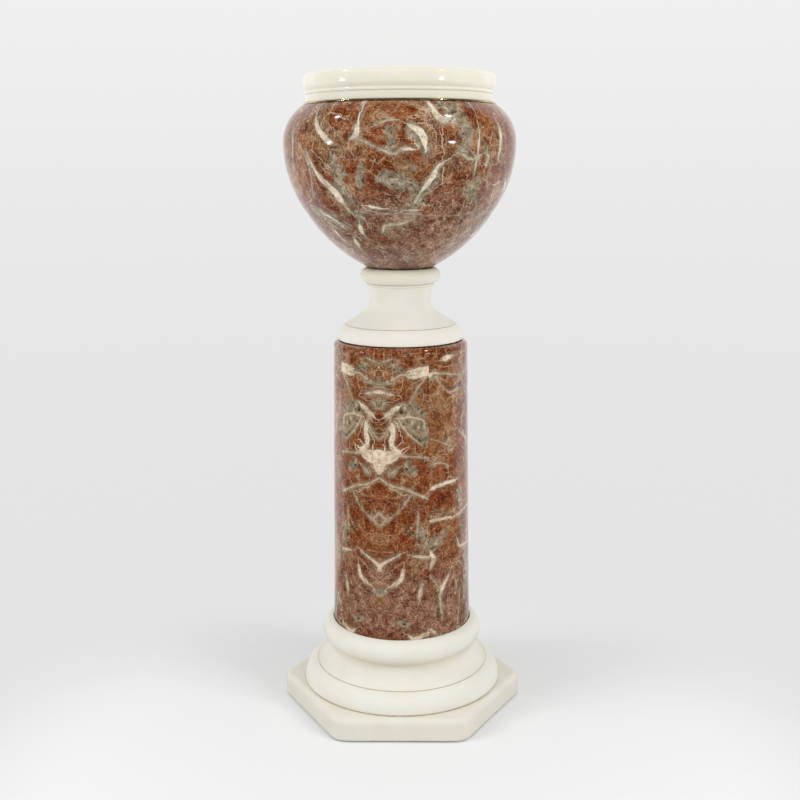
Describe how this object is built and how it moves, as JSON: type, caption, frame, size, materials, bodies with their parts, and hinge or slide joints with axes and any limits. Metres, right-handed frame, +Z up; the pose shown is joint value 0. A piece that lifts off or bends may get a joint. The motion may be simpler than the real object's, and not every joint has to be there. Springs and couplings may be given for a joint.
{
  "type": "jardiniere on stand",
  "caption": "Round glazed planter bowl on a footed socle that lifts off a column stand with a moulded base and a six-sided plinth, held together by a tie rod.",
  "frame": {"origin": "centre of the footprint, on the floor under the pads", "axes": "+Z up along the column's axis; -Y is the front, square to a flat side of the plinth"},
  "size_m": [0.3608, 0.3288, 0.9325],
  "materials": {
    "ivory_glaze": "glossy",
    "marbled_glaze": "glossy",
    "gilt_brass": "polished",
    "hardware_steel": "satin",
    "black_rubber": "matte"
  },
  "bodies": {
    "stand": {"foot_pads": "black_rubber", "plinth": "ivory_glaze", "base_gilt_ring": "gilt_brass", "base_moulding": "ivory_glaze", "column_foot_gasket": "black_rubber", "column_shell": "marbled_glaze", "column_top_gasket": "black_rubber", "tie_rod": "hardware_steel", "tie_rod_nuts": "hardware_steel", "tie_rod_washers": "hardware_steel", "tie_rod_cushions": "black_rubber"},
    "planter": {"socle": "ivory_glaze", "bowl_foot_gasket": "black_rubber", "bowl": "marbled_glaze", "rim_gilt_ring": "gilt_brass", "rim_collar": "ivory_glaze", "planter_bolt": "hardware_steel", "planter_bolt_nut": "hardware_steel", "planter_bolt_washers": "hardware_steel", "planter_bolt_seals": "black_rubber"}
  },
  "joints": [
    {"name": "planter_lift", "type": "slide", "parent": "stand", "child": "planter", "axis": [0, 0, 1], "range_m": [0, 0.15]}
  ]
}
